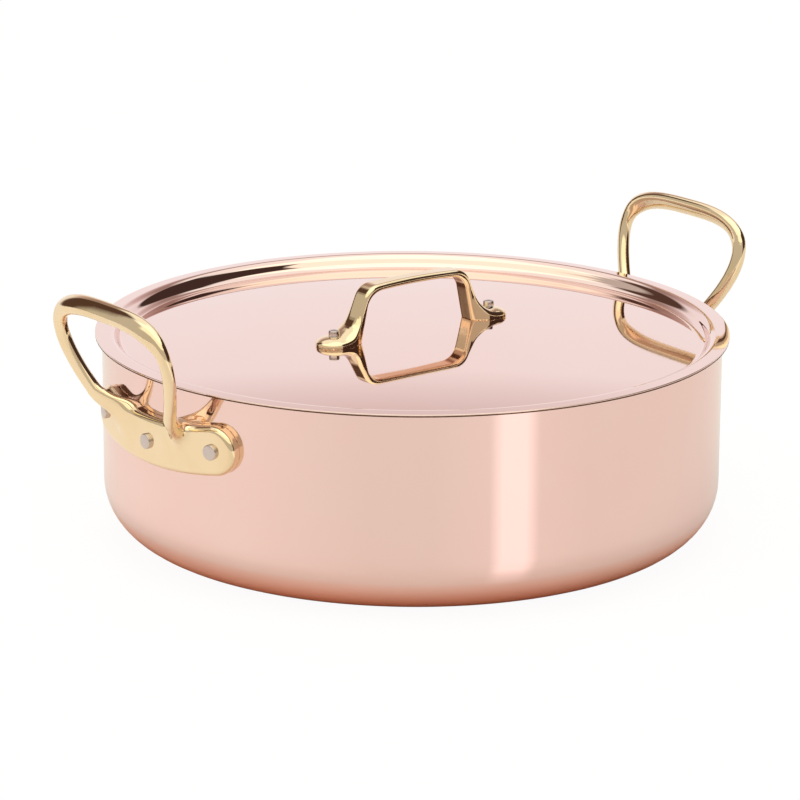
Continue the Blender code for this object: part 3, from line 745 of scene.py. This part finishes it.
def copper(name, tones, roughness, gap_shade=False):
    """Polished copper: faint lathe lines, slightly uneven polish and tone; the flag adds painted shade on
    the lower part of the lid's edge.
    """
    material, tree = metal(name)
    place, round_place = polar(tree)
    colour = colour_mix(tree, ramp(tree, noise(tree, place, COPPER_PATCHES), *TONE_SPAN), *tones)
    if gap_shade:
        colour = painted_gap_shade(tree, round_place, colour)
    haze = ramp(tree, noise(tree, place, COPPER_HAZE), *HAZE_SPAN, *roughness)
    return dress(material, colour, haze, bump(tree, noise(tree, round_place, LATHE_LINES), LATHE_RELIEF))


def brass(name):
    """Hand-polished cast brass: soft waves, fine haze and slightly uneven tone."""
    material, tree = metal(name)
    place = tree.nodes.new("ShaderNodeTexCoord").outputs["Object"]
    colour = colour_mix(tree, ramp(tree, noise(tree, place, BRASS_PATCHES), *TONE_SPAN), *BRASS_TONES)
    haze = ramp(tree, noise(tree, place, BRASS_HAZE), *HAZE_SPAN, *BRASS_ROUGHNESS)
    fine = bump(tree, noise(tree, place, FINE_WAVES), FINE_RELIEF)
    return dress(material, colour, haze, bump(tree, noise(tree, place, BROAD_WAVES), BROAD_RELIEF, fine))


def steel(name, colour, roughness, lines, gap_shade=False):
    """Stainless steel with fine turned lines; the flag adds painted shade on the lower part of the lid's
    edge.
    """
    material, tree = metal(name)
    place, round_place = polar(tree)
    paler = tuple(part * STEEL_PALER for part in colour)
    colour = colour_mix(tree, ramp(tree, noise(tree, round_place, STEEL_RINGS), *HAZE_SPAN), colour, paler)
    if gap_shade:
        colour = painted_gap_shade(tree, round_place, colour)
    haze = ramp(tree, noise(tree, place, STEEL_HAZE), *STEEL_HAZE_SPAN, *roughness)
    return dress(material, colour, haze, bump(tree, noise(tree, round_place, lines), STEEL_RELIEF))


# Pieces

def piece(name, mesh, node, finish):
    """Link a fine mesh as the piece that stands for one node, on that node's body, and hide that node."""
    obj = bpy.data.objects.new(name, mesh)
    bpy.context.scene.collection.objects.link(obj)
    if not mesh.materials:
        mesh.materials.append(finish)
    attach(obj, frame["nodes"][node]["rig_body"])
    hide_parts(node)
    return obj


def sheet_piece(name, outline, node, finish):
    """Turned sheet that stands for one node."""
    piece(name, turned(name, outline, SHEET_STEPS), node, finish)


def make_pan(finishes):
    """Copper body and its lining."""
    path = [(0, 0, 0), (PAN_RADIUS, 0, PAN_CORNER_RADIUS), (PAN_RADIUS, PAN_HEIGHT, 0)]
    body = sheet(path, 0, COPPER_WALL, RIM_EASE)
    lining = sheet(path, COPPER_WALL, COPPER_WALL + LINING_WALL, EDGE_EASE)
    sheet_piece("pan_copper_skin", body, "pan_copper_body", finishes["wall"])
    sheet_piece("pan_lining_skin", lining, "pan_steel_lining", finishes["lining"])


def make_lid(finishes):
    """Copper shell of the lid and its lining."""
    path = []
    for k in range(LID_DOME_RINGS):
        radius = LID_FLOOR_RADIUS * k / LID_DOME_RINGS
        path.append((radius, dome_height(radius), 0))
    path.append((LID_FLOOR_RADIUS, LID_FLOOR_EDGE, LID_WELL_CORNER_RADIUS))
    path.append((LID_LIP, LID_TOP, LID_LIP_RADIUS))
    path.append((LID_RADIUS, LID_TOP - FLANGE_FALL, 0))
    shell = sheet(path, 0, -LID_COPPER_WALL, EDGE_EASE)
    lining = sheet(path, -LID_COPPER_WALL, -LID_COPPER_WALL - LID_LINING_WALL, LID_LINING_EASE)
    sheet_piece("lid_copper_skin", shell, "lid_copper_shell", finishes["lid"])
    sheet_piece("lid_lining_skin", lining, "lid_steel_lining", finishes["lid_lining"])


def make_side_handles(finishes):
    """Both side handles from one casting."""
    mesh = cast("side_handle_casting", side_handle_field, *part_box("side_handle_right"))
    for side, turn in SIDE_TURNS:
        node = f"side_handle_{side}"
        handle = piece(f"{node}_casting", mesh, node, finishes["brass"])
        handle.rotation_euler = (0, 0, turn)


def make_lid_handle(finishes):
    """Strap arch and both feet."""
    mesh = cast("lid_handle_casting", lid_handle_field, *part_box("lid_handle"))
    piece("lid_handle_casting", mesh, "lid_handle", finishes["brass"])


def rivet_mesh(name, head_at, tip_at, shank_radius, head_radius, head_height):
    """Rivet along Z: domed head below head_at, eased and slightly crowned shank end at tip_at."""
    dome = []
    for k in range(HEAD_STEPS):
        angle = math.pi / 2 * k / HEAD_STEPS
        dome.append((head_radius * math.sin(angle), head_at - head_height * math.cos(angle), 0))
    shank = [(head_radius, head_at, 0), (shank_radius, head_at, 0)]
    tip = [(shank_radius, tip_at - SHANK_CROWN, RIVET_EASE), (0.0, tip_at, 0)]
    return turned(name, dome + shank + tip, RIVET_STEPS)


def make_side_rivets(finishes):
    """Three rivets in each side handle."""
    head_at = -COPPER_WALL - LINING_WALL - SIDE_HEAD_GAP
    mesh = rivet_mesh("side_rivet_turned", head_at, SIDE_SHANK_TIP, SIDE_SHANK_RADIUS, SIDE_HEAD_RADIUS,
                      SIDE_HEAD_HEIGHT)
    for side, turn in SIDE_TURNS:
        for letter, place in (("a", -1), ("b", 0), ("c", 1)):
            angle = turn + place * RIVET_PITCH / PLATE_SEAT_RADIUS
            node = f"side_rivet_{side}_{letter}"
            rivet = piece(f"{node}_turned", mesh, node, finishes["rivet"])
            height = band_middle(place * RIVET_PITCH)
            rivet.location = (PAN_RADIUS * math.cos(angle), PAN_RADIUS * math.sin(angle), height)
            rivet.rotation_euler = (0, math.pi / 2, angle)


def make_lid_rivets(finishes):
    """One rivet in each foot of the lid handle."""
    head_at = dome_height(FOOT_RIVET_HALF_SPAN + LID_HEAD_RADIUS) - LID_COPPER_WALL - LID_LINING_WALL
    tip_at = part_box("lid_rivet_right")[1].z
    mesh = rivet_mesh("lid_rivet_turned", head_at, tip_at, LID_SHANK_RADIUS, LID_HEAD_RADIUS,
                      LID_HEAD_HEIGHT)
    for side, way in (("left", -1), ("right", 1)):
        node = f"lid_rivet_{side}"
        rivet = piece(f"{node}_turned", mesh, node, finishes["rivet"])
        rivet.location = (way * FOOT_RIVET_HALF_SPAN, 0, 0)


# Studio

def make_camera():
    """Camera at the photograph's place."""
    across = Vector((math.cos(CAMERA_AZIMUTH), math.sin(CAMERA_AZIMUTH), 0))
    level = Vector((-math.sin(CAMERA_AZIMUTH), math.cos(CAMERA_AZIMUTH), 0))
    ahead = level * math.cos(CAMERA_ELEVATION) - Vector((0, 0, math.sin(CAMERA_ELEVATION)))
    up = level * math.sin(CAMERA_ELEVATION) + Vector((0, 0, math.cos(CAMERA_ELEVATION)))
    place = Vector((0, 0, AIM_HEIGHT)) + across * AIM_RIGHT + up * AIM_UP - ahead * CAMERA_DISTANCE
    rolled_across = across * math.cos(CAMERA_ROLL) + up * math.sin(CAMERA_ROLL)
    rolled_up = up * math.cos(CAMERA_ROLL) - across * math.sin(CAMERA_ROLL)
    data = bpy.data.cameras.new("camera")
    data.sensor_width = CAMERA_SENSOR
    data.lens = CAMERA_LENS
    data.clip_end = CAMERA_RANGE
    camera = bpy.data.objects.new("camera", data)
    turn = Matrix((rolled_across, rolled_up, -ahead)).transposed().to_4x4()
    camera.matrix_world = Matrix.Translation(place) @ turn
    bpy.context.scene.collection.objects.link(camera)
    bpy.context.scene.camera = camera


def azimuth_and_rise(tree, place, start=(0.0, 0.0, 0.0)):
    """Where a place is from start: azimuth in degrees from the camera's side, right positive, and height."""
    rotate = tree.nodes.new("ShaderNodeVectorRotate")
    rotate.rotation_type = "Z_AXIS"
    link(tree, place, rotate.inputs["Vector"])
    rotate.inputs["Angle"].default_value = -CAMERA_AZIMUTH
    shift = tree.nodes.new("ShaderNodeVectorMath")
    shift.operation = "SUBTRACT"
    link(tree, rotate.outputs[0], shift.inputs[0])
    shift.inputs[1].default_value = start
    right, away, rise = split(tree, shift.outputs[0])
    towards = maths(tree, "MULTIPLY", away, -1.0)
    return maths(tree, "DEGREES", maths(tree, "ARCTAN2", right, towards)), rise


def band(tree, value, centre, half_width, softness, strength=1.0):
    """Soft-edged band of a value around a centre."""
    apart = maths(tree, "ABSOLUTE", maths(tree, "SUBTRACT", value, centre))
    return ramp(tree, apart, half_width + softness, half_width, 0.0, strength)


def make_world():
    """Studio light: bright panels overhead, dimmer sides and a backdrop; the camera sees plain white."""
    world = bpy.data.worlds.new("studio")
    bpy.context.scene.world = world
    world.use_nodes = True
    tree = world.node_tree
    way = tree.nodes.new("ShaderNodeTexCoord").outputs["Generated"]
    azimuth, rise = azimuth_and_rise(tree, way)
    elevation = maths(tree, "DEGREES", maths(tree, "ARCSINE", rise))
    low, middle, high = BACKDROP_STOPS
    backdrop = colour_mix(tree, ramp(tree, elevation, low, middle), BACKDROP, BACKDROP_MIDDLE)
    backdrop = colour_mix(tree, ramp(tree, elevation, middle, high), backdrop, BACKDROP_TOP)
    behind = ramp(tree, maths(tree, "ABSOLUTE", azimuth), *BACKDROP_SIDES)
    result = colour_mix(tree, behind, SIDES, backdrop)
    for centre, height, half_width, half_height, softness, colour in PANELS:
        across = band(tree, azimuth, centre, half_width, softness)
        upright = band(tree, elevation, height, half_height, softness)
        result = colour_mix(tree, maths(tree, "MULTIPLY", across, upright), result, colour)
    seen = tree.nodes.new("ShaderNodeLightPath").outputs["Is Camera Ray"]
    link(tree, colour_mix(tree, seen, result, PLAIN_WHITE), tree.nodes["Background"].inputs["Color"])


def floor_light(tree, place, mirrored):
    """Strength of the floor's glow: even, with beams from one point that show only in the metal."""
    azimuth, _ = azimuth_and_rise(tree, place, BEAM_START)
    light = SEEN_LIGHT
    for beam in BEAMS:
        light = maths(tree, "ADD", light, maths(tree, "MULTIPLY", band(tree, azimuth, *beam), mirrored))
    return light


def floor_material():
    """Pale paint with painted warm shade under the pan, and a glow that makes it white to the camera."""
    material = bpy.data.materials.new("floor_paint_and_shade")
    material.use_nodes = True
    tree = material.node_tree
    tree.nodes.clear()
    place = tree.nodes.new("ShaderNodeTexCoord").outputs["Object"]
    path = tree.nodes.new("ShaderNodeLightPath")
    mirrored = maths(tree, "MAXIMUM", path.outputs["Is Glossy Ray"], path.outputs["Is Transmission Ray"])
    distance = tree.nodes.new("ShaderNodeVectorMath")
    distance.operation = "LENGTH"
    link(tree, place, distance.inputs[0])
    reach = distance.outputs["Value"]
    paint_and_shade = tree.nodes.new("ShaderNodeBsdfDiffuse")
    # Painted warm shade on the floor under the pan, which the metal shows near its bottom.
    colour = colour_mix(tree, ramp(tree, reach, *CONTACT_SHADE_REACH), CONTACT_SHADE_COLOUR, FLOOR_COLOUR)
    link(tree, colour, paint_and_shade.inputs["Color"])
    glow = tree.nodes.new("ShaderNodeEmission")
    link(tree, floor_light(tree, place, mirrored), glow.inputs["Strength"])
    seen = maths(tree, "MULTIPLY", path.outputs["Is Camera Ray"], SEEN_WHITE)
    in_metal = maths(tree, "MULTIPLY", mirrored, ramp(tree, reach, *CONTACT_RING, 0.0, MIRRORED_WHITE))
    mix = tree.nodes.new("ShaderNodeMixShader")
    link(tree, maths(tree, "MAXIMUM", seen, in_metal), mix.inputs[0])
    link(tree, paint_and_shade.outputs[0], mix.inputs[1])
    link(tree, glow.outputs[0], mix.inputs[2])
    output = tree.nodes.new("ShaderNodeOutputMaterial")
    link(tree, mix.outputs[0], output.inputs["Surface"])
    return material


def make_floor():
    """Plain pale floor."""
    bm = bmesh.new()
    bmesh.ops.create_circle(bm, cap_ends=True, segments=FLOOR_STEPS, radius=FLOOR_RADIUS)
    floor = bpy.data.objects.new("floor", mesh_of("floor", bm))
    bpy.context.scene.collection.objects.link(floor)
    floor.data.materials.append(floor_material())


def main():
    """Dress the frame, then set up the studio."""
    finishes = {
        "wall": copper("copper_wall", WALL_TONES, WALL_ROUGHNESS),
        # The lid and its lining get painted shade on the lower part of their edge.
        "lid": copper("copper_lid", LID_TONES, LID_ROUGHNESS, gap_shade=True),
        "lining": steel("steel_lining", LINING_COLOUR, LINING_ROUGHNESS, LINING_LINES),
        "lid_lining": steel("lid_steel_lining", LINING_COLOUR, LINING_ROUGHNESS, LINING_LINES, gap_shade=True),
        "brass": brass("cast_brass"),
        "rivet": steel("rivet_steel", RIVET_COLOUR, RIVET_ROUGHNESS, RIVET_LINES),
    }
    make_pan(finishes)
    make_lid(finishes)
    make_side_handles(finishes)
    make_lid_handle(finishes)
    make_side_rivets(finishes)
    make_lid_rivets(finishes)
    make_camera()
    make_world()
    make_floor()
    bpy.context.scene.view_settings.view_transform = "Standard"


main()
